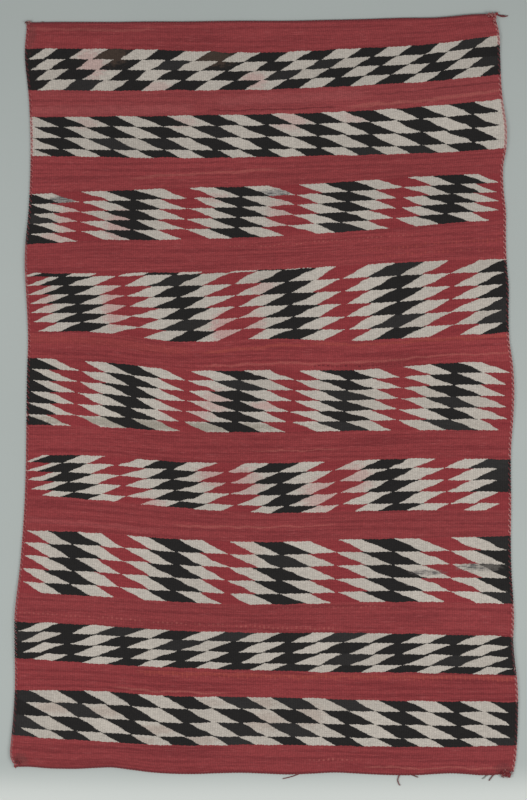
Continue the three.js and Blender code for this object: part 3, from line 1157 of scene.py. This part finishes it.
def edge_path(x, y, side, out):
    """A cord's centre line: the cloth's edge, moved out square to itself, on the lifted cloth."""
    run = np.stack([np.gradient(x), np.gradient(y)], -1)
    run /= np.linalg.norm(run, axis=1)[:, None]
    x = x + side * out * MM * run[:, 1]
    y = y - side * out * MM * run[:, 0]
    return np.stack([x, y, CORD_HEIGHT * MM + floor_lift(x, y)], -1)


def cut_to_solid(path, node, axis):
    """The part of a cord's line that its solid covers, and a little more that goes under the knots."""
    low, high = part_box(node)
    run = path[:, axis]
    keep = (run >= low[axis] - CORD_REACH * MM) & (run <= high[axis] + CORD_REACH * MM)
    return spaced(path[keep], CORD_STEP * MM)


def loom_of_height(across):
    """The place on the loom of a height y, at a share of the way across."""
    return smooth_curve([-float(line(across)) for line in lines], loom_lines)


fine_down = np.linspace(0, 1, 1200)
for name, side_x, across, side, numbers in (
    ("side_cord_left", left_x, 0.0, 1, (RED_NUMBER, WEFT_NUMBER)),
    ("side_cord_right", right_x, 1.0, -1, (RIGHT_CORD + RED_NUMBER, RIGHT_CORD + WEFT_NUMBER)),
):
    y = top_y(across) + (bottom_y(across) - top_y(across)) * fine_down
    path = cut_to_solid(edge_path(side_x(fine_down), y, side, SIDE_OUT), name, 1)
    loom = loom_of_height(across)(-path[:, 1])
    cord = Yarn()
    cord.twisted(path, STRAND_RADIUS * MM, SIDE_SPREAD, SIDE_PITCH * MM, numbers, loom)
    cord.piece("twined_" + name, cord_finish, name, "cord_wool")

# %% [markdown]
# ## End cords and loose ends
# The end cords are darker and more worn. Here and there a yarn end has worked loose from them and lies on
# the floor. A loose end leaves its cord at a heading and turns evenly on its way, which a short table can
# say. The grey end is no yarn end: it is a painted shadow of the maroon end beside it.

# %% Twine the end cords
END_OUT = 1.6
END_SPREAD = (1.5 * MM, 0.6 * MM)
END_PITCH = 15
LOOSE_RADIUS = 0.75
LOOSE_SPREAD = (0.7 * MM, 0.7 * MM)
LOOSE_PITCH = 6
LOOSE_ENDS = table(
    "end across heading length turn dye",
    ("top", 0.037, 140, 9, 40, "brown"),
    ("bottom", 0.574, 205, 47, -15, "maroon"),
    ("bottom", 0.776, 216, 31, 98, "maroon"),
    ("bottom", 0.796, -28, 20, 12, "brown"),
    # The grey end is a painted shadow of the maroon end below it in this table.
    ("bottom", 0.954, 218, 19, 0, "grey"),
    ("bottom", 0.966, 222, 22, 15, "maroon"),
)
TAIL_POINTS = 24


def tail_path(start, row, height):
    """Points of a yarn end that leaves start at a heading and settles on the floor."""
    share = np.linspace(0, 1, TAIL_POINTS)
    angle = np.radians(row["heading"] + row["turn"] * share)
    stride = row["length"] * MM / (TAIL_POINTS - 1)
    x = start[0] + np.concatenate([[0.0], np.cumsum(np.cos(angle[1:]) * stride)])
    y = start[1] + np.concatenate([[0.0], np.cumsum(np.sin(angle[1:]) * stride)])
    z = height + (start[2] - height) * (1 - np.minimum(share * 3, 1.0)) ** 2
    return np.stack([x, y, z], -1)


fine_across = np.linspace(0, 1, 900)
for end, side_y, down, side, node in (
    ("top", top_y, 0.0, -1, "end_cord_top"),
    ("bottom", bottom_y, 1.0, 1, "end_cord_bottom"),
):
    x = left_x(down) + (right_x(down) - left_x(down)) * fine_across
    edge = edge_path(x, side_y(fine_across), side, END_OUT)
    cord = Yarn()
    path = cut_to_solid(edge, node, 0)
    numbers = (MAROON_NUMBER, MAROON_NUMBER)
    cord.twisted(path, STRAND_RADIUS * MM, END_SPREAD, END_PITCH * MM, numbers)
    for row in LOOSE_ENDS:
        if row["end"] == end:
            start = edge[int(row["across"] * (len(edge) - 1))]
            tail = tail_path(start, row, 2 * LOOSE_RADIUS * MM)
            numbers = (DYES[row["dye"]][0], DYES[row["dye"]][0])
            cord.twisted(tail, LOOSE_RADIUS * MM, LOOSE_SPREAD, LOOSE_PITCH * MM, numbers)
    cord.piece("twined_" + node, cord_finish, node, "cord_wool")

# %% [markdown]
# ## Corner knots
# At the corners the cords are tied off. A trefoil is the simplest closed knot, and its three loops,
# pressed flat, look just like a pulled-tight yarn knot. Tangles of short curly yarn beside it and fine
# stray fibres make it look worn. The random numbers are seeded, so the fibres fall the same way each
# time.

# %% Tie the corner knots
KNOTS = table(
    "corner loop yarn dye stray fibres",
    ("top_left", 3.1, 1.5, "brown", "brown", 3),
    ("top_right", 3.6, 1.6, "red", "pale", 5),
    ("bottom_left", 3.1, 1.5, "red", "brown", 3),
    ("bottom_right", 5.2, 2.2, "maroon", "maroon", 4),
)
TUFTS = table(
    "corner right up wide tall curls dyes",
    ("top_left", 4, 0, 5, 2.5, 22, ("brown", "pale")),
    ("top_right", -13, -4, 9, 5, 60, ("red", "pale")),
    ("top_right", -5, -19, 4, 7, 18, ("pale", "red")),
    ("bottom_left", 7, 12, 8, 6, 22, ("brown", "red")),
    ("bottom_right", -7, 3, 15, 8, 140, ("maroon", "red")),
    ("bottom_right", -4, 12, 14, 3, 9, ("pale", "red")),
)
CURL_RADIUS = 0.55
CURL_POINTS = 18
KNOT_TAILS = table(
    "corner heading length turn dye",
    ("top_right", -47, 30, 73, "maroon"),
    ("top_right", -30, 21, 36, "brown"),
)
TAIL_RADIUS = 1.1 * LOOSE_RADIUS
TAIL_PITCH = 7
KNOT_POINTS = 72
FIBRE_RADIUS = 0.16
fibre_chance = random.Random(11)


def knot_middle(corner):
    """The middle of a knot's ball, from the highest points of its solid, which its tails don't reach."""
    points = np.array([point.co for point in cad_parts["corner_knot_" + corner].data.vertices])
    crown = points[points[:, 2] > 0.85 * points[:, 2].max()]
    return crown[:, :2].mean(0)


def add_tuft(knot, middle, row):
    """A tangle of short curly yarn that lies over the edge of the cloth beside a knot."""
    share = np.linspace(0, 1, CURL_POINTS)
    for number in range(row["curls"]):
        angle = fibre_chance.uniform(0, 2 * math.pi)
        reach = math.sqrt(fibre_chance.uniform(0, 1))
        x = middle[0] + (row["right"] + row["wide"] * reach * math.cos(angle)) * MM
        y = middle[1] + (row["up"] + row["tall"] * reach * math.sin(angle)) * MM
        length = fibre_chance.uniform(3.5, 7) * MM
        curl = fibre_chance.uniform(-300, 300) * share + 40 * np.sin(fibre_chance.uniform(6, 14) * share)
        heading = np.radians(fibre_chance.uniform(0, 360) + curl)
        run_x = x + np.cumsum(np.cos(heading)) * length / CURL_POINTS
        run_y = y + np.cumsum(np.sin(heading)) * length / CURL_POINTS
        hump = np.sin(fibre_chance.uniform(3, 8) * share) * 0.6
        height = (CLOTH_THICKNESS + CURL_RADIUS + fibre_chance.uniform(0.3, 1.8) + hump) * MM
        thick = CURL_RADIUS * (1 - 0.6 * np.abs(2 * share - 1) ** 3) * MM
        dye_number = DYES[row["dyes"][number % len(row["dyes"])]][0]
        path = np.stack([run_x, run_y, height + floor_lift(run_x, run_y)], -1)
        knot.strand(path, thick, dye_number, sides=5)


for row in KNOTS:
    corner = row["corner"]
    middle = knot_middle(corner)
    turn = np.linspace(0, 2 * math.pi, KNOT_POINTS)
    loop = row["loop"] * MM / 4
    rise = row["yarn"] * 0.75 * MM
    x = middle[0] + loop * (np.sin(turn) + 2 * np.sin(2 * turn))
    y = middle[1] + loop * (np.cos(turn) - 2 * np.cos(2 * turn))
    z = row["yarn"] * MM + rise - rise * np.sin(3 * turn)
    knot = Yarn()
    knot.strand(np.stack([x, y, z], -1), row["yarn"] * MM, DYES[row["dye"]][0], sides=8)
    start = (middle[0], middle[1], row["yarn"] * MM)
    for tail in KNOT_TAILS:
        if tail["corner"] == corner:
            numbers = (DYES[tail["dye"]][0], MAROON_NUMBER)
            path = tail_path(start, tail, 2 * LOOSE_RADIUS * MM)
            knot.twisted(path, TAIL_RADIUS * MM, LOOSE_SPREAD, TAIL_PITCH * MM, numbers)
    for tuft in TUFTS:
        if tuft["corner"] == corner:
            add_tuft(knot, middle, tuft)
    for fibre_number in range(row["fibres"]):
        heading = fibre_chance.uniform(0, 360)
        length = fibre_chance.uniform(1.6, 2.9) * row["loop"]
        stray = {"heading": heading, "length": length, "turn": fibre_chance.uniform(-140, 140)}
        path = tail_path((middle[0], middle[1], 2.2 * row["yarn"] * MM), stray, FIBRE_RADIUS * MM)
        knot.strand(path[::3], FIBRE_RADIUS * MM, DYES[row["stray"]][0], sides=3)
    knot.piece("tied_knot_" + corner, knot_finish, "corner_knot_" + corner, "knot_wool")

# %% [markdown]
# ## Size of the cloth
# Last, the mean width and length of the cloth are worked out from its outline.

shares = np.linspace(0, 1, 401)
mean_width = float(np.mean(right_x(shares) - left_x(shares)))
mean_length = float(np.mean(top_y(shares) - bottom_y(shares)))
